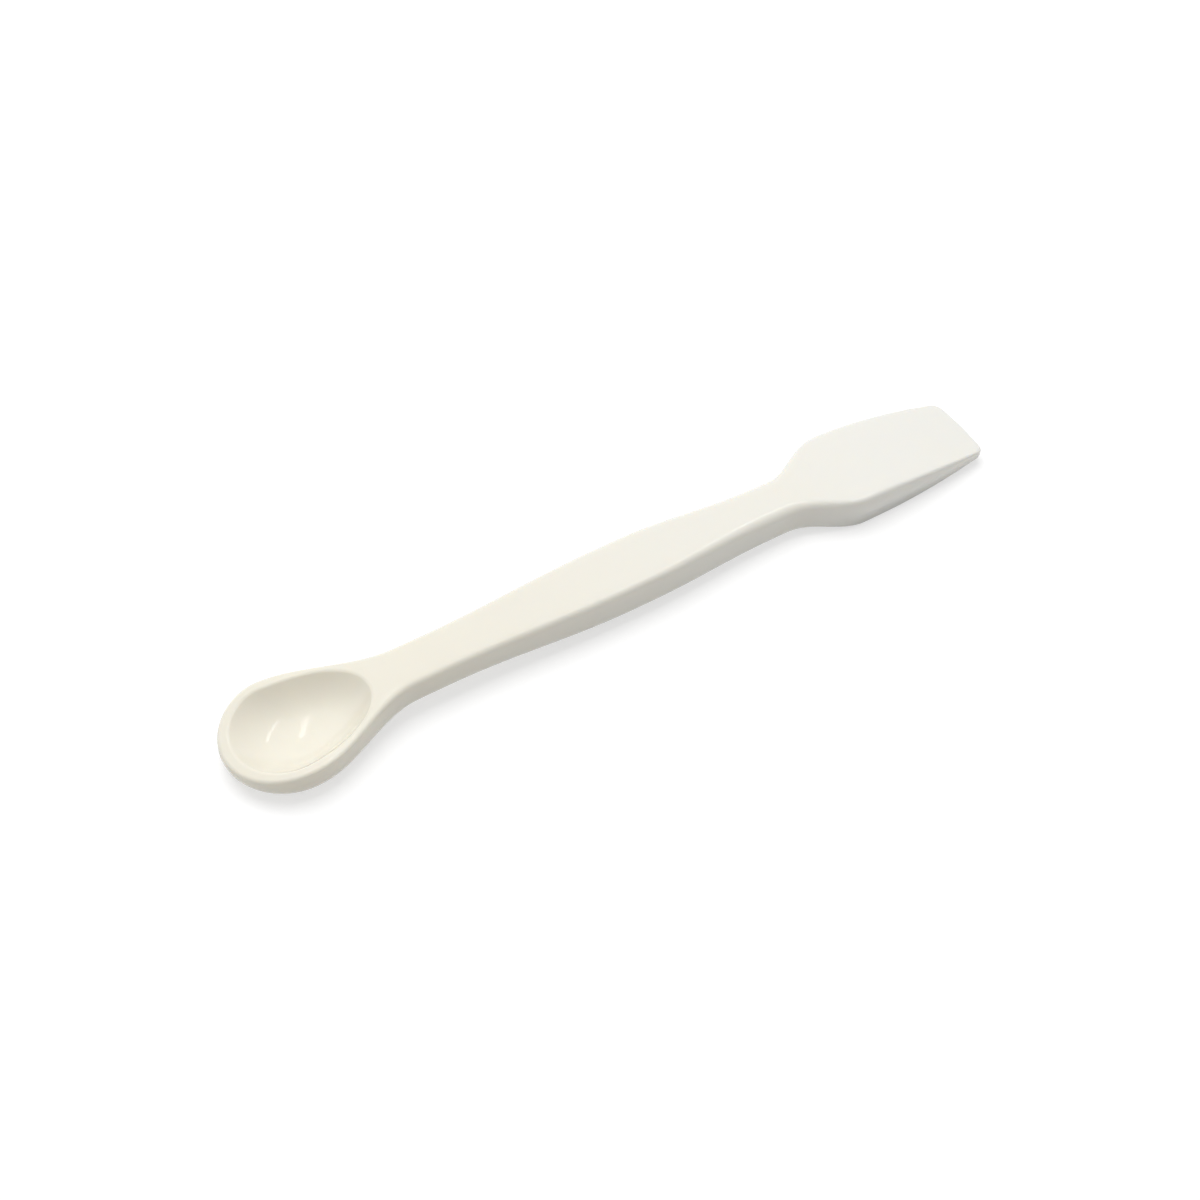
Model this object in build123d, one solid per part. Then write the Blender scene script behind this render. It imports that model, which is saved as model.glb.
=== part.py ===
"""Porcelain lab spatula: a round scoop bowl, a waisted handle and a wedge blade in one piece.

Millimetres, +Z up. The origin is the middle of the length on the surface that the spatula
stands on, with the bowl towards -X and the blade towards +X. While the body is shaped, places
along it are counted from the bowl's nose, and the finished body is moved to the origin last.
"""
from build123d import *
import math
import os

# Whole piece
length = 150.0

# Bowl: a half round nose, flanks that run into the handle's neck, and an egg shaped hollow
bowl_width = 22.4
bowl_length = 34.0
rim_set_down = 1.55
nose_fall = 2.0
nose_fall_start = 0.25
rim_width = 1.75
nose_rim_width = 1.25
rim_edge_radius = 0.6
rim_inner_radius = 0.7
bowl_wall_height = 3.15
bowl_foot_width = 8.0
hollow_depth = 4.9
hollow_heel_setback = 6.6
hollow_floor_share = 0.25
hollow_floor_shift = 3.5

# Handle: neck, grip and throat from the bowl to the blade
handle_height = 8.1
handle_edge_radius = 1.2
throat_edge_radius = 1.7
handle_base_radius = 1.3
neck_width = 9.2
neck_thickness = 5.2
neck_length = 6.0
grip_width = 11.8
grip_thickness = 6.3
grip_length = 4.0
grip_place = 77.0
throat_width = 8.9
throat_thickness = 5.95
throat_length = 4.0

# Blade: shoulders, a wedge that thins to the tip, and a slightly bowed tip edge
blade_length = 40.5
shoulder_length = 13.5
shoulder_height = 6.95
shoulder_lean = 1.0
blade_width = 18.3
blade_undercut = 0.85
blade_edge_radius = 0.9
blade_base_radius = 0.45
blade_foot_setback = 2.0
tip_width = 14.0
tip_thickness = 1.2
tip_lift = 1.6
tip_bow = 0.4
tip_corner_radius = 2.0
tip_edge_radius = 0.4

# The underside is ground flat where the spatula stands
foot_grind = 0.08

# Places along the body, from the nose
bowl_centre = bowl_width / 2
rim_height = handle_height - rim_set_down
hollow_width = bowl_width - 2 * rim_width
hollow_nose_reach = bowl_centre - nose_rim_width
hollow_heel_reach = bowl_length - hollow_heel_setback - bowl_centre
hollow_tilt = math.degrees(math.atan((rim_set_down + nose_fall) / bowl_length))
neck_start = bowl_length
neck_end = neck_start + neck_length
grip_start = grip_place - grip_length / 2
grip_end = grip_place + grip_length / 2
throat_end = length - blade_length
throat_start = throat_end - throat_length
shoulder = throat_end + shoulder_length
blade_foot = shoulder + blade_foot_setback
blade_base_width = blade_width - 2 * blade_undercut


def flow(place, stations):
    """Run smoothly from value to value, level at each (place, value) station."""
    if place <= stations[0][0]:
        return stations[0][1]
    for (start, low), (end, high) in zip(stations, stations[1:]):
        if place < end:
            share = (place - start) / (end - start)
            return low + (high - low) * (1 - math.cos(math.pi * share)) / 2
    return stations[-1][1]


def handle_width(place):
    """Width from the bowl through neck and grip to the throat."""
    widths = [(bowl_centre, bowl_width), (neck_start, neck_width), (neck_end, neck_width),
              (grip_start, grip_width), (grip_end, grip_width), (throat_start, throat_width)]
    return flow(place, widths)


def blade_share(place):
    """How far a place is from the shoulder to the tip."""
    return max(0.0, (place - shoulder) / (length - shoulder))


def half_width(place):
    """Half of the width of the upper face."""
    spread = flow(place, [(throat_end, 0.0), (shoulder, blade_width - throat_width)])
    taper = (blade_width - tip_width) * blade_share(place) ** 2
    return (handle_width(place) + spread - taper) / 2


def half_base(place):
    """Half of the width of the underside: the shoulders start earlier there."""
    start = throat_end - shoulder_lean
    end = shoulder - shoulder_lean
    spread = flow(place, [(start, 0.0), (end, blade_base_width - throat_width)])
    taper = (blade_base_width - tip_width) * blade_share(place) ** 2
    return (handle_width(place) + spread - taper) / 2


def top_height(place):
    """Height of the upper face: level along the handle, sloping down the blade."""
    heights = [(bowl_centre, rim_height), (neck_start, handle_height), (grip_end, handle_height),
               (shoulder, shoulder_height)]
    tip_top = tip_lift + tip_thickness
    fall = (shoulder_height - tip_top) * blade_share(place) ** 1.5
    return flow(place, heights) - fall


def base_height(place):
    """Height of the underside: bowl foot, raised handle, and the blade's flat foot."""
    neck_base = handle_height - neck_thickness
    grip_base = handle_height - grip_thickness
    throat_base = top_height(throat_end) - throat_thickness
    heights = [(bowl_centre, -foot_grind), (neck_start, neck_base), (neck_end, neck_base),
               (grip_place, grip_base), (throat_end, throat_base), (blade_foot, -foot_grind)]
    lift_share = max(0.0, (place - blade_foot) / (length - blade_foot))
    return flow(place, heights) + (tip_lift + foot_grind) * lift_share ** 2


def edge_radius(place):
    """Radius of the upper edge: small on the rim and blade, soft along the handle."""
    radii = [(bowl_centre, rim_edge_radius), (neck_end, handle_edge_radius),
             (grip_end, handle_edge_radius), (throat_end, throat_edge_radius),
             (shoulder, blade_edge_radius), (length, tip_edge_radius)]
    return flow(place, radii)


def base_rounding(place):
    """Width and height of the rounding under the sides."""
    bowl_side = (half_base(place) - bowl_foot_width / 2, rim_height - bowl_wall_height)
    radii = [(neck_end, handle_base_radius), (throat_end, handle_base_radius),
             (shoulder, blade_base_radius), (length, tip_edge_radius)]
    small = flow(place, radii)
    share = flow(place, [(bowl_centre, 1.0), (neck_start, 0.0)])
    return [share * size + (1 - share) * small for size in bowl_side]


def upper_edges(place):
    """Upper face and rounded upper edge of a section, from the centreline to the side."""
    top = top_height(place)
    side = half_width(place)
    edge = edge_radius(place)
    return [Line((0, top), (side - edge, top)), CenterArc((side - edge, top - edge), edge, 90, -90)]


def side_edge(place):
    """Side of a section, from the rounded upper edge down to the rounding under it."""
    start = top_height(place) - edge_radius(place)
    end = base_height(place) + base_rounding(place)[1]
    middle = (start + end) / 2
    side = half_width(place)
    foot = half_base(place)
    return Bezier((side, start), (side, middle), (foot, middle), (foot, end))


def lower_edges(place):
    """Rounding under the side and underside of a section, as far as the centreline."""
    base = base_height(place)
    foot = half_base(place)
    across, up = base_rounding(place)
    rounding = EllipticalCenterArc((foot - across, base + up), across, up, 270, arc_size=90)
    return [rounding, Line((foot - across, base), (0, base))]


def whole_section(place):
    """Full cross-section as a face."""
    right = upper_edges(place) + [side_edge(place)] + lower_edges(place)
    left = [mirror(edge, Plane.YZ) for edge in right]
    return Plane.YZ.offset(place) * make_face(right + left)


def section_places():
    """Where the cross-sections stand, closer together where the shape turns faster."""
    runs = [(bowl_centre, neck_start, 7), (neck_start, neck_end, 2), (neck_end, grip_start, 4),
            (grip_start, grip_end, 1), (grip_end, throat_start, 4), (throat_start, throat_end, 2),
            (throat_end, shoulder, 8), (shoulder, length, 5)]
    places = []
    for start, end, count in runs:
        places += [start + (end - start) * step / count for step in range(count)]
    return places + [length, length + tip_thickness]


def square_nose():
    """The nose turned about the bowl's centre, with a level top and a square upper edge."""
    base = base_height(bowl_centre)
    side = bowl_width / 2
    wall_foot = (side, base + base_rounding(bowl_centre)[1])
    upper = [Line((0, rim_height), (side, rim_height)), Line((side, rim_height), wall_foot)]
    centreline = Line((0, base), (0, rim_height))
    outline = make_face(upper + lower_edges(bowl_centre) + [centreline])
    turning_axis = Axis((bowl_centre, 0, 0), (0, 0, 1))
    return revolve(Plane.YZ.offset(bowl_centre) * outline, turning_axis, 180)


def above_rim():
    """The space above the rim, which falls away smoothly from the bowl's centre to the nose."""
    level = (bowl_centre, rim_height)
    bend = (bowl_centre * (1 - nose_fall_start), rim_height)
    nose_top = (0, rim_height - nose_fall)
    beyond = (nose_top[0] - bend[0], nose_top[1] - nose_fall)
    fall = [Bezier(level, bend, nose_top), Line(nose_top, beyond)]
    sky = 2 * handle_height
    frame = Polyline(beyond, (beyond[0], sky), (bowl_centre, sky), level)
    return extrude(Plane.XZ * make_face(fall + [frame]), bowl_width, both=True)


def nose():
    """The nose with its sloping rim and the rim's outer edge rounded."""
    blank = square_nose() - above_rim()
    above_wall_foot = rim_height - bowl_wall_height + rim_edge_radius / 2
    outer = [edge for edge in blank.edges()
             if edge.bounding_box().min.Z > above_wall_foot
             and edge.bounding_box().min.X < bowl_centre / 2]
    return fillet(outer, rim_edge_radius)


def body():
    """Handle, blade and flanks lofted through the sections, with the nose joined on."""
    return loft([whole_section(place) for place in section_places()]) + nose()


def egg(share):
    """Egg outline of the hollow, two half ellipses, from its floor at 0 to past its rim at 1."""
    size = hollow_floor_share + (1 - hollow_floor_share) * share
    half = hollow_width / 2 * size
    nose_end = EllipticalCenterArc((0, 0), hollow_nose_reach * size, half, 90, arc_size=180)
    heel_end = EllipticalCenterArc((0, 0), hollow_heel_reach * size, half, 270, arc_size=180)
    place = hollow_floor_shift * (1 - share)
    height = hollow_depth * (share ** 2 - 1)
    return Pos(place, 0, height) * make_face([nose_end, heel_end])


def hollow():
    """The bowl's hollow: a dish that is tipped with the rim and stays open above it."""
    steps = 6
    layers = [egg(step / steps) for step in range(steps + 2)]
    return Pos(bowl_centre, 0, rim_height) * Rot(0, -hollow_tilt, 0) * loft(layers)


def tip_corner():
    """Centre of a tip corner's rounding, which touches the side and the bowed tip edge."""
    side_slope = (blade_width - tip_width) / (length - shoulder)
    bow_radius = (tip_width / 2) ** 2 / (2 * tip_bow)
    along = length - tip_corner_radius
    for _ in range(4):
        side = tip_width / 2 + side_slope * (length - along)
        across = side - tip_corner_radius * math.hypot(1, side_slope)
        reach = bow_radius - tip_corner_radius
        along = length - bow_radius + math.sqrt(reach ** 2 - across ** 2)
    return along, across, math.atan(side_slope), bow_radius


def tip_outline():
    """Outline that trims the tip: bowed edge, rounded corners, then clear of the sides."""
    along, across, side_angle, bow_radius = tip_corner()
    bow_angle = math.atan2(across, along - (length - bow_radius))
    radius = tip_corner_radius

    def around(angle, distance):
        return (along + distance * math.cos(angle), across + distance * math.sin(angle))

    side_normal = math.pi / 2 - side_angle
    side_touch = around(side_normal, radius)
    clear = around(side_normal, radius + blade_width)
    bow_touch = around(bow_angle, radius)
    corner = ThreePointArc(side_touch, around((side_normal + bow_angle) / 2, radius), bow_touch)
    leave = Line(clear, side_touch)
    far_half = [leave, corner]
    near_half = [mirror(edge, Plane.XZ) for edge in far_half]
    bow = ThreePointArc(bow_touch, (length, 0), (bow_touch[0], -bow_touch[1]))
    back = [Line(clear, (-length, clear[1])), Line((-length, clear[1]), (-length, -clear[1])),
            Line((-length, -clear[1]), (clear[0], -clear[1]))]
    return make_face(far_half + near_half + [bow] + back)


def trim(blank):
    """Trim the tip in plan, and grind the feet flat on the standing surface."""
    return blank & extrude(tip_outline(), handle_height * 2)


def soften_tip(blank):
    """Round the thin edge that runs round the tip, above and below."""
    start = length - tip_corner_radius
    middle = tip_lift + tip_thickness / 2
    tip_edges = [edge for edge in blank.edges() if edge.bounding_box().min.X > start]
    upper = [edge for edge in tip_edges if edge.bounding_box().min.Z > middle]
    lower = [edge for edge in tip_edges if edge.bounding_box().max.Z < middle]
    return fillet(upper + lower, tip_edge_radius)


def is_mouth_edge(edge):
    """Whether an edge runs along the hollow's mouth, on the rim's upper face."""
    box = edge.bounding_box()
    slack = rim_width / 10
    on_rim = box.min.Z > rim_height - nose_fall - slack and edge.length > rim_width
    reach = max(box.max.Y, -box.min.Y)
    heel = bowl_centre + hollow_heel_reach
    return on_rim and box.max.X < heel + slack and reach < hollow_width / 2 + slack


def soften_rim(blank):
    """Round the inner edge of the bowl's rim."""
    mouth = [edge for edge in blank.edges() if is_mouth_edge(edge)]
    return fillet(mouth, rim_inner_radius)


def spatula():
    """The whole piece at its place on the standing surface."""
    blank = soften_tip(trim(body()))
    return Pos(-length / 2, 0, 0) * soften_rim(blank - hollow())


if __name__ == "__main__":
    os.makedirs("parts", exist_ok=True)
    piece = spatula()
    piece.label = "spatula"
    export_step(piece, "parts/spatula.step")
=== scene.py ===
"""Porcelain lab spatula on a plain pale floor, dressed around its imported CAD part."""

import math

import bmesh
import bpy
import numpy as np
from mathutils import Matrix, Vector


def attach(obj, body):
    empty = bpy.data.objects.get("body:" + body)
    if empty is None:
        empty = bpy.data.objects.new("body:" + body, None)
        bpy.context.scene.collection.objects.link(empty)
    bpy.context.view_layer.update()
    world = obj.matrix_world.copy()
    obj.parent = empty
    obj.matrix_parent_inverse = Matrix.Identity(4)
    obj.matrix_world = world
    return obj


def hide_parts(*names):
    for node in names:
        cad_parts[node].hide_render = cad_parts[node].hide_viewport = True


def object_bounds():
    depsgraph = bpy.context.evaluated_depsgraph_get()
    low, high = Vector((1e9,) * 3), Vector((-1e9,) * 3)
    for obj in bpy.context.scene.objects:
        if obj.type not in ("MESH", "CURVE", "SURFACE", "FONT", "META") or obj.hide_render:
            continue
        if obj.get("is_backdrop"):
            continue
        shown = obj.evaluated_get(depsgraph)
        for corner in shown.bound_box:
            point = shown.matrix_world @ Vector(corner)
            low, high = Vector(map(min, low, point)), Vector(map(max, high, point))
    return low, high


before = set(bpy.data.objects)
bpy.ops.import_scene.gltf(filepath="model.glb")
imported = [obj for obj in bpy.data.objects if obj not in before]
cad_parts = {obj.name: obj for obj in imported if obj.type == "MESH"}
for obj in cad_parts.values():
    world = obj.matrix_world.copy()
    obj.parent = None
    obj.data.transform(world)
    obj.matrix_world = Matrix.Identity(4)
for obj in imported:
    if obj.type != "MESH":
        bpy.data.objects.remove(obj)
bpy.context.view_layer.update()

# Spatula
# One body of hard porcelain: pressed to shape, ground level where it stands and fired under a
# clear glaze. The glaze rounds every edge and lies a little thicker in the bowl. Sizes are in
# millimetres, and places along the body are counted from the bowl's nose.
MM = 0.001

length = 150.0

bowl_width = 22.4
bowl_length = 34.0
rim_set_down = 1.55
nose_fall = 2.0
nose_fall_start = 0.25
rim_width = 1.75
nose_rim_width = 1.25
rim_edge_radius = 0.6
rim_inner_radius = 0.7
bowl_wall_height = 3.15
bowl_foot_width = 8.0
hollow_depth = 4.9
hollow_heel_setback = 6.6
hollow_floor_share = 0.25
hollow_floor_shift = 3.5

handle_height = 8.1
handle_edge_radius = 1.2
throat_edge_radius = 1.7
handle_base_radius = 1.3
neck_width = 9.2
neck_thickness = 5.2
neck_length = 6.0
grip_width = 11.8
grip_thickness = 6.3
grip_length = 4.0
grip_place = 77.0
throat_width = 8.9
throat_thickness = 5.95
throat_length = 4.0

blade_length = 40.5
shoulder_length = 13.5
shoulder_height = 6.95
shoulder_lean = 1.0
blade_width = 18.3
blade_undercut = 0.85
blade_edge_radius = 0.9
blade_base_radius = 0.45
blade_foot_setback = 2.0
tip_width = 14.0
tip_thickness = 1.2
tip_lift = 1.6
tip_bow = 0.4
tip_corner_radius = 2.0
tip_edge_radius = 0.4

foot_grind = 0.08

bowl_centre = bowl_width / 2
rim_height = handle_height - rim_set_down
hollow_width = bowl_width - 2 * rim_width
hollow_nose_reach = bowl_centre - nose_rim_width
hollow_heel_reach = bowl_length - hollow_heel_setback - bowl_centre
hollow_tilt = math.atan((rim_set_down + nose_fall) / bowl_length)
neck_start = bowl_length
neck_end = neck_start + neck_length
grip_start = grip_place - grip_length / 2
grip_end = grip_place + grip_length / 2
throat_end = length - blade_length
throat_start = throat_end - throat_length
shoulder = throat_end + shoulder_length
blade_foot = shoulder + blade_foot_setback
blade_base_width = blade_width - 2 * blade_undercut


def flow(place, stations):
    """Run smoothly from value to value, level at each (place, value) station."""
    value = stations[0][1]
    for (start, low), (end, high) in zip(stations, stations[1:]):
        share = np.clip((place - start) / (end - start), 0.0, 1.0)
        value = value + (high - low) * (1 - np.cos(np.pi * share)) / 2
    return value


def handle_width(place):
    """Width from the bowl through neck and grip to the throat."""
    return flow(place, [(bowl_centre, bowl_width), (neck_start, neck_width),
                        (neck_end, neck_width), (grip_start, grip_width),
                        (grip_end, grip_width), (throat_start, throat_width)])


def blade_share(place):
    """How far a place is from the shoulder to the tip."""
    return np.maximum(0.0, (place - shoulder) / (length - shoulder))


def half_width(place):
    """Half of the width of the upper face."""
    spread = flow(place, [(throat_end, 0.0), (shoulder, blade_width - throat_width)])
    taper = (blade_width - tip_width) * blade_share(place) ** 2
    return (handle_width(place) + spread - taper) / 2


def half_base(place):
    """Half of the width of the underside: the shoulders start earlier there."""
    start = throat_end - shoulder_lean
    end = shoulder - shoulder_lean
    spread = flow(place, [(start, 0.0), (end, blade_base_width - throat_width)])
    taper = (blade_base_width - tip_width) * blade_share(place) ** 2
    return (handle_width(place) + spread - taper) / 2


def rim_fall(place):
    """How far the rim has fallen towards the nose, on a curve that starts level."""
    share = np.clip((bowl_centre - place) / bowl_centre, 0.0, 1.0)
    bend = 1 - 2 * nose_fall_start
    along = (np.sqrt(nose_fall_start ** 2 + bend * share) - nose_fall_start) / bend
    return nose_fall * along ** 2


def top_height(place):
    """Height of the upper face: falling to the nose, level along the handle, down the blade."""
    fall = (shoulder_height - tip_lift - tip_thickness) * blade_share(place) ** 1.5
    height = flow(place, [(bowl_centre, rim_height), (neck_start, handle_height),
                          (grip_end, handle_height), (shoulder, shoulder_height)])
    return height - fall - rim_fall(place)


def base_height(place):
    """Height of the underside: bowl foot, raised handle and blade foot, ground level at 0."""
    lift_share = np.maximum(0.0, (place - blade_foot) / (length - blade_foot))
    throat_base = top_height(throat_end) - throat_thickness
    height = flow(place, [(bowl_centre, -foot_grind), (neck_start, handle_height - neck_thickness),
                          (neck_end, handle_height - neck_thickness),
                          (grip_place, handle_height - grip_thickness),
                          (throat_end, throat_base), (blade_foot, -foot_grind)])
    return np.maximum(0.0, height + (tip_lift + foot_grind) * lift_share ** 2)


def edge_radius(place):
    """Radius of the upper edge: small on the rim and blade, soft along the handle."""
    return flow(place, [(bowl_centre, rim_edge_radius), (neck_end, handle_edge_radius),
                        (grip_end, handle_edge_radius), (throat_end, throat_edge_radius),
                        (shoulder, blade_edge_radius), (length, tip_edge_radius)])


def base_rounding(place):
    """Width and height of the rounding under the sides."""
    small = flow(place, [(neck_end, handle_base_radius), (throat_end, handle_base_radius),
                         (shoulder, blade_base_radius), (length, tip_edge_radius)])
    share = flow(place, [(bowl_centre, 1.0), (neck_start, 0.0)])
    across = share * (half_base(place) - bowl_foot_width / 2) + (1 - share) * small
    up = share * (rim_height - bowl_wall_height) + (1 - share) * small
    return across, up


def turned(angles, centre, radius):
    """Plan points on an arc, and the directions that point out of it."""
    out = np.stack([np.cos(angles), np.sin(angles)], -1)
    return np.array(centre) + radius * out, out


# Steps of the mesh along the outline of one half, from the tip's middle to the nose
bow_steps = 13
corner_steps = 9
blade_steps = 30
shoulder_steps = 22
handle_steps = 62
neck_steps = 7
bowl_side_steps = 30
nose_steps = 24


def half_outline():
    """Plan outline of the +Y half from the tip's middle to the nose: points and directions."""
    side_slope = (blade_width - tip_width) / (length - shoulder)
    bow_radius = (tip_width / 2) ** 2 / (2 * tip_bow)
    bow_centre = length - bow_radius
    # The rounded corner's centre, a radius inside both the bowed tip and the side
    along = length - tip_corner_radius
    passes = 4
    for _ in range(passes):
        across = (tip_width / 2 + side_slope * (length - along)
                  - tip_corner_radius * math.hypot(1, side_slope))
        along = bow_centre + math.sqrt((bow_radius - tip_corner_radius) ** 2 - across ** 2)
    bow_angle = math.atan2(across, along - bow_centre)
    side_angle = math.pi / 2 - math.atan(side_slope)
    bow_angles = np.linspace(0, bow_angle, bow_steps + 1)
    bow, bow_out = turned(bow_angles, (bow_centre, 0.0), bow_radius)
    corner_angles = np.linspace(bow_angle, side_angle, corner_steps + 1)[1:]
    corner, corner_out = turned(corner_angles, (along, across), tip_corner_radius)
    stretches = [(corner[-1, 0], shoulder, blade_steps), (shoulder, throat_end, shoulder_steps),
                 (throat_end, neck_end, handle_steps), (neck_end, neck_start, neck_steps),
                 (neck_start, bowl_centre, bowl_side_steps)]
    place = np.concatenate([np.linspace(start, end, steps + 1)[1:]
                            for start, end, steps in stretches])
    side = np.stack([place, half_width(place)], -1)
    slope = np.where(place > shoulder, np.gradient(side[:, 1], side[:, 0]), 0.0)
    side_out = np.stack([-slope, np.ones_like(place)], -1)
    side_out /= np.linalg.norm(side_out, axis=1, keepdims=True)
    nose_angles = np.linspace(math.pi / 2, math.pi, nose_steps + 1)[1:]
    nose, nose_out = turned(nose_angles, (bowl_centre, 0.0), bowl_centre)
    return (np.concatenate([bow, corner, side, nose]),
            np.concatenate([bow_out, corner_out, side_out, nose_out]))


def strip(mesh, rows, closed=False):
    """Add a sheet of four-sided faces through rows of points."""
    made = [[mesh.verts.new(Vector(point)) for point in row] for row in rows]
    pairs = list(zip(made, made[1:])) + ([(made[-1], made[0])] if closed else [])
    for low, high in pairs:
        for a, b, c, d in zip(low, low[1:], high[1:], high):
            mesh.faces.new((a, b, c, d))


def with_height(plan, height):
    """Plan points in millimetres from the nose, and heights, as metres in the part's frame."""
    place = plan[..., 0] - length / 2
    return np.stack([place, plan[..., 1], height + 0 * place], -1) * MM


def lay(line):
    """A line of plan points laid on the upper face."""
    return with_height(line, top_height(line[:, 0]))


half, half_out = half_outline()
mirrored = np.array([1.0, -1.0])
plan = np.concatenate([half, half[-2:0:-1] * mirrored])
out = np.concatenate([half_out, half_out[-2:0:-1] * mirrored])

# Round the nose the section stays the one at the bowl's centre
station = np.maximum(plan[:, 0], bowl_centre)

# Middle line that the faces run in to: it ends at the bowl's centre and short of the tip, where
# the faces fan out to the last stretch of the outline
fan_length = 18.0
arc = np.concatenate([[0.0], np.cumsum(np.linalg.norm(np.diff(half, axis=0), axis=1))])
lag = np.maximum(fan_length - arc, 0.0)
fan_start = np.interp(fan_length, arc, half[:, 0])
fanned = fan_start + lag - lag ** 2 / (2 * fan_length)
middle_half = np.where(lag > 0, fanned, station[:len(half)])
middle_place = np.concatenate([middle_half, middle_half[-2:0:-1]])
middle = np.stack([middle_place, 0 * middle_place], -1)

# Rings round the body: the rounded upper edge, the side, the rounding under it, the underside
edge_steps = 6
side_steps = 7
base_steps = 10
underside_steps = 6
edge = edge_radius(station)
across, up = base_rounding(station)
lean = half_width(station) - half_base(station)
foot = plan - out * lean[:, None]
inner_foot = foot - out * across[:, None]
side_top = top_height(plan[:, 0]) - edge
side_foot = base_height(station) + up
side_middle = (side_top + side_foot) / 2

sheets = []
for share in np.linspace(0, 1, edge_steps + 1):
    turn = share * math.pi / 2
    ring = plan - out * (edge * (1 - math.sin(turn)))[:, None]
    sheets.append(with_height(ring, top_height(ring[:, 0]) - edge * (1 - math.cos(turn))))
for share in np.linspace(0, 1, side_steps + 1)[1:]:
    ring = plan + (foot - plan) * (3 * share ** 2 - 2 * share ** 3)
    height = (side_top * (1 - share) ** 3 + 3 * side_middle * share * (1 - share)
              + side_foot * share ** 3)
    sheets.append(with_height(ring, height))
for share in np.linspace(0, 1, base_steps + 1)[1:]:
    turn = share * math.pi / 2
    ring = foot - out * (across * (1 - math.cos(turn)))[:, None]
    sheets.append(with_height(ring, base_height(ring[:, 0]) + up * (1 - math.sin(turn))))
for share in np.linspace(0, 1, underside_steps + 1)[1:]:
    ring = inner_foot + (middle - inner_foot) * share
    sheets.append(with_height(ring, base_height(ring[:, 0])))

body = bmesh.new()
strip(body, np.stack(sheets, 1), closed=True)

# Upper face of handle and blade, from the middle line out to the rounded edge
top_steps = 8
top_edge = plan - out * edge[:, None]
shares = np.linspace(0, 1, top_steps + 1)[:, None]
join = int(np.argmin(np.abs(half[:, 0] - neck_start)))
handle_rows = [index % len(plan) for index in range(-join, join + 1)]
strip(body, [lay(middle[index] + (top_edge[index] - middle[index]) * shares)
             for index in handle_rows])

# Bowl: land, rounded rim, wall and floor run in from a ring round the hollow
heel = middle[join]
heel_line = np.concatenate([heel + (top_edge[-join] - heel) * shares[::-1],
                            heel + (top_edge[join] - heel) * shares[1:]])[1:-1]
outer = np.concatenate([top_edge[join:len(plan) - join + 1], heel_line])
ray = outer - np.array([bowl_centre, 0.0])
reach = np.where(ray[:, 0] > 0, hollow_heel_reach, hollow_nose_reach)
widest = ray / np.hypot(ray[:, 0] / reach, ray[:, 1] / (hollow_width / 2))[:, None]

# Below this share of the wall, the glaze rounds the floor down to its middle, without a flat
floor_join = 0.2
wall_spread = 1 - hollow_floor_share
join_size = hollow_floor_share + wall_spread * floor_join
floor_sag = hollow_depth * floor_join * join_size / wall_spread


def wall(share):
    """Plan and height of a ring on the dish: 0 at the edge of its floor, 1 at its widest."""
    size = hollow_floor_share + wall_spread * share
    along, side = (widest * size[:, None]).T
    along = along + hollow_floor_shift * (1 - share)
    steep = hollow_depth * (share ** 2 - 1)
    rounded = hollow_depth * (floor_join ** 2 - 1) - floor_sag * (1 - (size / join_size) ** 2)
    depth = np.where(share > floor_join, steep, rounded)
    place = bowl_centre + along * math.cos(hollow_tilt) - depth * math.sin(hollow_tilt)
    height = rim_height + along * math.sin(hollow_tilt) + depth * math.cos(hollow_tilt)
    return np.stack([place, side], -1), height


# The mouth is where the dish meets the upper face, found by halving between two rings: one that
# lies under that face all round, and one above it
halvings = 30
low_share = np.full(len(ray), 0.5)
high_share = np.full(len(ray), 1.3)
for _ in range(halvings):
    share = (low_share + high_share) / 2
    ring, height = wall(share)
    under = height < top_height(ring[:, 0])
    low_share = np.where(under, share, low_share)
    high_share = np.where(under, high_share, share)
mouth_share = (low_share + high_share) / 2
mouth = wall(mouth_share)[0]
tangent = np.roll(mouth, -1, 0) - np.roll(mouth, 1, 0)
mouth_out = np.stack([tangent[:, 1], -tangent[:, 0]], -1)
mouth_out /= np.linalg.norm(mouth_out, axis=1, keepdims=True)
mouth_out *= np.sign(np.sum(mouth_out * ray, -1))[:, None]

# Land and rounded rim: the rounding starts and ends one setback from the mouth's sharp corner
# and is pulled towards it
land_steps = 7
rim_steps = 7
rim_pull = 0.55
small_share = 0.01
wall_slope = math.atan(2 * hollow_depth / (wall_spread * hollow_width / 2))
setback = rim_inner_radius * math.tan(wall_slope / 2)
land = mouth + mouth_out * setback
rings = [lay(outer + (land - outer) * share) for share in np.linspace(0, 1, land_steps + 1)]
start, corner = lay(land), lay(mouth)
step = with_height(*wall(mouth_share)) - with_height(*wall(mouth_share - small_share))
brim_share = mouth_share - small_share * setback * MM / np.linalg.norm(step, axis=1)
end = with_height(*wall(brim_share))
start_pull = start + (corner - start) * rim_pull
end_pull = end + (corner - end) * rim_pull
for share in np.linspace(0, 1, rim_steps + 1)[1:]:
    rings.append(start * (1 - share) ** 3 + 3 * start_pull * share * (1 - share) ** 2
                 + 3 * end_pull * share ** 2 * (1 - share) + end * share ** 3)

# Wall and floor: rings down the dish, which stop this share of the way in over the floor
dish_steps = 20
floor_reach = 0.8
last_share = -floor_reach * hollow_floor_share / wall_spread
for share in np.linspace(1, 0, dish_steps + 1)[1:]:
    rings.append(with_height(*wall(last_share + (brim_share - last_share) * share)))
strip(body, np.stack(rings, 1), closed=True)

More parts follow.
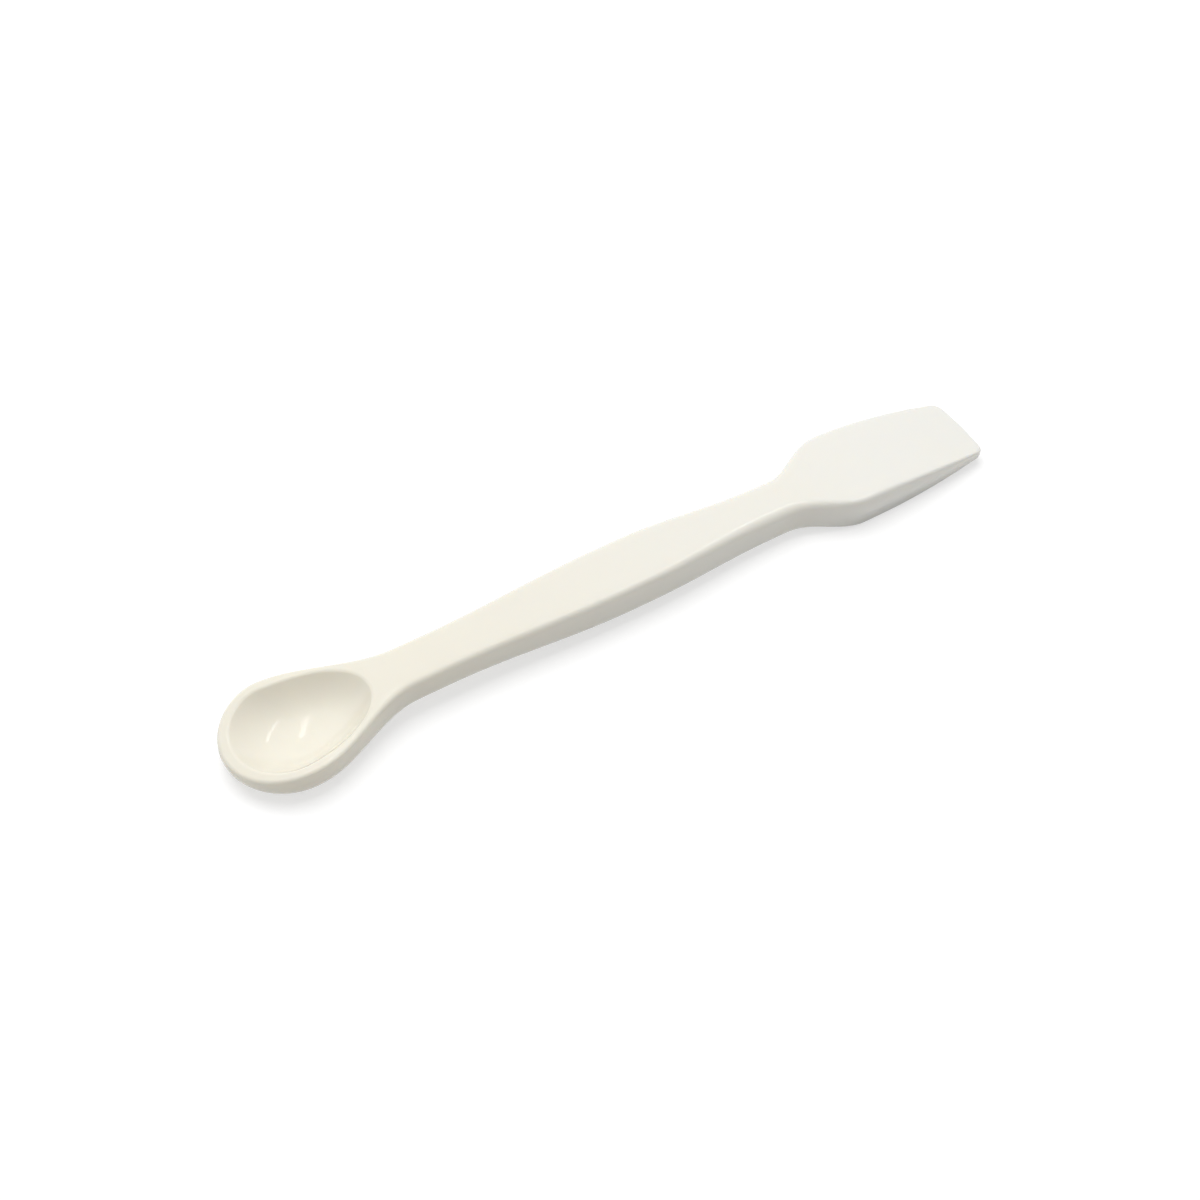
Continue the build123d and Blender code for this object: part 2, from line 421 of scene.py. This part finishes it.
# Floor patch: a four-sided sheet stretched between four quarters of the last ring
ring = rings[-1]
quarter = len(ring) // 4
low = ring[:quarter + 1]
right = ring[quarter:2 * quarter + 1]
high = ring[2 * quarter:3 * quarter + 1][::-1]
left = np.concatenate([ring[3 * quarter:], ring[:1]])[::-1]
patch = []
u = np.linspace(0, 1, quarter + 1)[:, None]
for index in range(quarter + 1):
    v = index / quarter
    patch.append(low * (1 - v) + high * v + left[index] * (1 - u) + right[index] * u
                 - (low[0] * (1 - u) * (1 - v) + low[-1] * u * (1 - v)
                    + high[0] * (1 - u) * v + high[-1] * u * v))
strip(body, patch)

merge_distance = 0.002
bmesh.ops.remove_doubles(body, verts=body.verts, dist=merge_distance * MM)
bmesh.ops.recalc_face_normals(body, faces=body.faces)
spatula_mesh = bpy.data.meshes.new("spatula_glazed")
body.to_mesh(spatula_mesh)
body.free()
spatula = bpy.data.objects.new("spatula_glazed", spatula_mesh)
bpy.context.scene.collection.objects.link(spatula)


def add_node(tree, kind, settings=None, links=None):
    """Add a node, set its properties and unlinked inputs, and link the others."""
    node = tree.nodes.new(kind)
    for name, value in (settings or {}).items():
        setattr(node, name, value)
    for name, value in (links or {}).items():
        if isinstance(value, bpy.types.NodeSocket):
            tree.links.new(value, node.inputs[name])
        else:
            node.inputs[name].default_value = value
    return node


def linear(hex_colour):
    """An sRGB hex colour as linear RGBA."""
    parts = [int(hex_colour[i:i + 2], 16) / 255 for i in (1, 3, 5)]
    return [c / 12.92 if c <= 0.04045 else ((c + 0.055) / 1.055) ** 2.4 for c in parts] + [1.0]


# Glazed porcelain: white clay body under a fired clear glaze. It gives the eye a warm white with
# soft, clear reflections and edges softened by light that sinks into the body. Slow clouds and
# ripples in the glaze keep it from looking flat. Its grain is drawn coarser than the real one,
# which is too fine to show.
porcelain = bpy.data.materials.new("glazed_porcelain")
porcelain.use_nodes = True
tree = porcelain.node_tree
tree.nodes.clear()
warm = linear("#F2EDDE")
cool = linear("#F2F1EB")
pale = linear("#F5F1E4")

# The glaze is warmest at the bowl's end and turns cooler between these places along the body
warm_until = -50.0
cool_from = 60.0

cloud_width = 22.0
cloudiness = 0.35
ripple_width = 4.0
ripple_height = 0.02
grain_width = 0.7
grain_height = 0.002
least_roughness = 0.08
most_roughness = 0.14
sink_depth = 2.0

where = add_node(tree, "ShaderNodeTexCoord").outputs["Object"]
cloud = add_node(tree, "ShaderNodeTexNoise", {"noise_dimensions": "3D"}, {
    "Vector": where, "Scale": 1 / (cloud_width * MM), "Detail": 2.0})
ripple = add_node(tree, "ShaderNodeTexNoise", {"noise_dimensions": "3D"}, {
    "Vector": where, "Scale": 1 / (ripple_width * MM), "Detail": 1.0})
grain = add_node(tree, "ShaderNodeTexNoise", {"noise_dimensions": "3D"}, {
    "Vector": where, "Scale": 1 / (grain_width * MM), "Detail": 2.0})
split = add_node(tree, "ShaderNodeSeparateXYZ", links={"Vector": where})
drift = add_node(tree, "ShaderNodeMapRange", links={
    "Value": split.outputs["X"], "From Min": warm_until * MM, "From Max": cool_from * MM})
tone = add_node(tree, "ShaderNodeMix", {"data_type": "RGBA"}, {
    0: drift.outputs["Result"], 6: warm, 7: cool})
cloud_share = add_node(tree, "ShaderNodeMapRange", links={
    "Value": cloud.outputs["Fac"], "From Min": 0.35, "From Max": 0.75, "To Max": cloudiness})
clouded = add_node(tree, "ShaderNodeMix", {"data_type": "RGBA"}, {
    0: cloud_share.outputs["Result"], 6: tone.outputs[2], 7: pale})
roughness = add_node(tree, "ShaderNodeMapRange", links={
    "Value": cloud.outputs["Fac"], "From Min": 0.3, "From Max": 0.7,
    "To Min": least_roughness, "To Max": most_roughness})
ripple_bump = add_node(tree, "ShaderNodeBump", links={
    "Height": ripple.outputs["Fac"], "Distance": ripple_height * MM, "Strength": 1.0})
grain_bump = add_node(tree, "ShaderNodeBump", links={
    "Height": grain.outputs["Fac"], "Distance": grain_height * MM, "Strength": 1.0,
    "Normal": ripple_bump.outputs["Normal"]})
glaze = add_node(tree, "ShaderNodeBsdfPrincipled", links={
    "Base Color": clouded.outputs[2], "Roughness": roughness.outputs["Result"],
    "Normal": grain_bump.outputs["Normal"], "IOR": 1.5, "Subsurface Weight": 0.3,
    "Subsurface Radius": (1.0, 0.85, 0.65), "Subsurface Scale": sink_depth * MM,
    "Coat Weight": 0.4, "Coat Roughness": 0.03, "Coat IOR": 1.5})
add_node(tree, "ShaderNodeOutputMaterial", links={"Surface": glaze.outputs["BSDF"]})

# Surface of the fired piece: the mesh is rounded once more, and the glaze's slow waves lift it,
# less and less towards the ground foot
relief = bpy.data.node_groups.new("glaze_relief", "GeometryNodeTree")
relief.interface.new_socket("Geometry", in_out="OUTPUT", socket_type="NodeSocketGeometry")
for name, kind in (("Geometry", "NodeSocketGeometry"), ("Rounding", "NodeSocketInt"),
                   ("Wave height", "NodeSocketFloat"), ("Wave length", "NodeSocketFloat"),
                   ("Foot clearance", "NodeSocketFloat"), ("Seed", "NodeSocketFloat"),
                   ("Glaze", "NodeSocketMaterial")):
    relief.interface.new_socket(name, in_out="INPUT", socket_type=kind)
given = relief.nodes.new("NodeGroupInput").outputs
rounded = add_node(relief, "GeometryNodeSubdivisionSurface", links={
    "Mesh": given["Geometry"], "Level": given["Rounding"]})
position = add_node(relief, "GeometryNodeInputPosition").outputs["Position"]
normal = add_node(relief, "GeometryNodeInputNormal").outputs["Normal"]
pitch = add_node(relief, "ShaderNodeMath", {"operation": "DIVIDE"}, {
    0: 1.0, 1: given["Wave length"]})
wave = add_node(relief, "ShaderNodeTexNoise", {"noise_dimensions": "4D"}, {
    "Vector": position, "W": given["Seed"], "Scale": pitch.outputs[0], "Detail": 1.0})
swing = add_node(relief, "ShaderNodeMath", {"operation": "SUBTRACT"}, {
    0: wave.outputs["Fac"], 1: 0.5})
above = add_node(relief, "ShaderNodeSeparateXYZ", links={"Vector": position})
clear = add_node(relief, "ShaderNodeMapRange", links={
    "Value": above.outputs["Z"], "From Min": 0.0, "From Max": given["Foot clearance"]})
swell = add_node(relief, "ShaderNodeMath", {"operation": "MULTIPLY"}, {
    0: swing.outputs[0], 1: given["Wave height"]})
lift = add_node(relief, "ShaderNodeMath", {"operation": "MULTIPLY"}, {
    0: swell.outputs[0], 1: clear.outputs["Result"]})
offset = add_node(relief, "ShaderNodeVectorMath", {"operation": "SCALE"}, {
    0: normal, "Scale": lift.outputs[0]})
lifted = add_node(relief, "GeometryNodeSetPosition", links={
    "Geometry": rounded.outputs["Mesh"], "Offset": offset.outputs["Vector"]})
smooth = add_node(relief, "GeometryNodeSetShadeSmooth", links={"Geometry": lifted.outputs[0]})
realized = add_node(relief, "GeometryNodeRealizeInstances", links={"Geometry": smooth.outputs[0]})
coated = add_node(relief, "GeometryNodeSetMaterial", links={
    "Geometry": realized.outputs[0], "Material": given["Glaze"]})
add_node(relief, "NodeGroupOutput", links={"Geometry": coated.outputs[0]})

dressing = spatula.modifiers.new("glaze_relief", "NODES")
dressing.node_group = relief
values = {"Rounding": 1, "Wave height": 0.1 * MM, "Wave length": 18.0 * MM,
          "Foot clearance": 1.0 * MM, "Seed": 4.0, "Glaze": porcelain}
for item in relief.interface.items_tree:
    if item.in_out == "INPUT" and item.name in values:
        dressing[item.identifier] = values[item.name]
evaluated = spatula.evaluated_get(bpy.context.evaluated_depsgraph_get())
finished = bpy.data.meshes.new_from_object(evaluated)
spatula.modifiers.clear()
spatula.data = finished
spatula.data.name = "spatula_glazed"
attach(spatula, "root")
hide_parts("spatula")

# Floor: matt white paper, wide enough to fill every view. The camera and the glaze's reflections
# see it as plain white with the spatula's soft shadow on it, and it throws back a little less.
floor_half_width = 6000.0
floor_drop = 0.05
bounce_colour = linear("#E0E0E0")
shadow_grey = 0.5
glow_strength = 0.6

corners = [(-1, -1), (1, -1), (1, 1), (-1, 1)]
floor_mesh = bpy.data.meshes.new("floor")
floor_mesh.from_pydata([(x * floor_half_width * MM, y * floor_half_width * MM, -floor_drop * MM)
                        for x, y in corners], [], [(0, 1, 2, 3)])
floor = bpy.data.objects.new("floor", floor_mesh)
bpy.context.scene.collection.objects.link(floor)
floor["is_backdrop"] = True


def seen_directly(tree):
    """1 for rays that show the floor or the room to the eye, and 0 for those that light things."""
    path = add_node(tree, "ShaderNodeLightPath")
    camera_or_gloss = add_node(tree, "ShaderNodeMath", {"operation": "MAXIMUM"}, {
        0: path.outputs["Is Camera Ray"], 1: path.outputs["Is Glossy Ray"]})
    return add_node(tree, "ShaderNodeMath", {"operation": "MAXIMUM"}, {
        0: camera_or_gloss.outputs[0], 1: path.outputs["Is Transmission Ray"]}).outputs[0]


paper = bpy.data.materials.new("matt_white_paper")
paper.use_nodes = True
tree = paper.node_tree
tree.nodes.clear()
bounce = add_node(tree, "ShaderNodeBsdfDiffuse", links={"Color": bounce_colour})
shaded = add_node(tree, "ShaderNodeBsdfDiffuse", links={"Color": [shadow_grey] * 3 + [1.0]})
glow = add_node(tree, "ShaderNodeEmission", links={
    "Color": linear("#FFFFFF"), "Strength": glow_strength})
white = add_node(tree, "ShaderNodeAddShader", links={
    0: shaded.outputs[0], 1: glow.outputs[0]})
blend = add_node(tree, "ShaderNodeMixShader", links={
    0: seen_directly(tree), 1: bounce.outputs[0], 2: white.outputs[0]})
add_node(tree, "ShaderNodeOutputMaterial", links={"Surface": blend.outputs[0]})
floor.data.materials.append(paper)

# World: an even pale room. The camera and the glaze's reflections see it as plain white.
room_strength = 0.30
white_strength = 1.0

world = bpy.data.worlds.new("pale_room")
world.use_nodes = True
bpy.context.scene.world = world
tree = world.node_tree
tree.nodes.clear()
room = add_node(tree, "ShaderNodeBackground", links={
    "Color": linear("#FFFFFF"), "Strength": room_strength})
backdrop = add_node(tree, "ShaderNodeBackground", links={
    "Color": linear("#FFFFFF"), "Strength": white_strength})
blend = add_node(tree, "ShaderNodeMixShader", links={
    0: seen_directly(tree), 1: room.outputs[0], 2: backdrop.outputs[0]})
add_node(tree, "ShaderNodeOutputWorld", links={"Surface": blend.outputs[0]})

# Camera: a long lens, looking down at the near side from the bowl's end
aim = Vector((-5.631, -4.731, 7.563)) * MM
camera_distance = 508.65
looks_down = math.radians(47.476)
looks_aside = math.radians(32.327)
view = Vector((math.cos(looks_down) * math.sin(looks_aside),
               math.cos(looks_down) * math.cos(looks_aside), -math.sin(looks_down)))
to_right = Vector((math.cos(looks_aside), -math.sin(looks_aside), 0.0))
to_top = to_right.cross(view)
camera_data = bpy.data.cameras.new("camera")
camera_data.sensor_width = 36.0
camera_data.lens = 90.0
camera_data.clip_start = 0.01
camera = bpy.data.objects.new("camera", camera_data)
camera.matrix_world = Matrix.Translation(aim - view * (camera_distance * MM)) @ Matrix(
    (to_right, to_top, -view)).transposed().to_4x4()
bpy.context.scene.collection.objects.link(camera)
bpy.context.scene.camera = camera
bpy.context.scene.view_settings.view_transform = "Standard"


# Lamps: one wide soft box overhead, and two narrow tubes that draw the streaks in the bowl.
# Places and sizes are in metres, and powers in watts.
def add_lamp(name, place, along, lamp_length, lamp_width, power):
    """An area lamp at a place that faces the spatula, its length along a direction."""
    data = bpy.data.lights.new(name, "AREA")
    data.shape = "RECTANGLE"
    data.size = lamp_length
    data.size_y = lamp_width
    data.energy = power
    back = Vector(place).normalized()
    side = (Vector(along) - Vector(along).dot(back) * back).normalized()
    lamp = bpy.data.objects.new(name, data)
    lamp.matrix_world = Matrix.Translation(place) @ Matrix(
        (side, back.cross(side), back)).transposed().to_4x4()
    bpy.context.scene.collection.objects.link(lamp)
    return lamp


box_place = (0.0, 0.3, 0.95)
box_along = (1.0, 0.0, 0.0)
box_size = 0.9
box_power = 8.3
soft_box = add_lamp("soft_box", box_place, box_along, box_size, box_size, box_power)
soft_box.visible_glossy = False
tubes = [("near_tube", (0.523, 0.385, 0.716), (0.225, -0.127, 0.951), 0.06, 0.33),
         ("far_tube", (0.135, 0.548, 0.777), (-0.086, 0.15, 0.991), 0.045, 0.22)]
for name, tube_start, tube_end, tube_width, tube_power in tubes:
    tube_along = Vector(tube_end) - Vector(tube_start)
    tube_place = (Vector(tube_start) + Vector(tube_end)) / 2
    add_lamp(name, tube_place, tube_along, tube_along.length, tube_width, tube_power)

low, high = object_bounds()
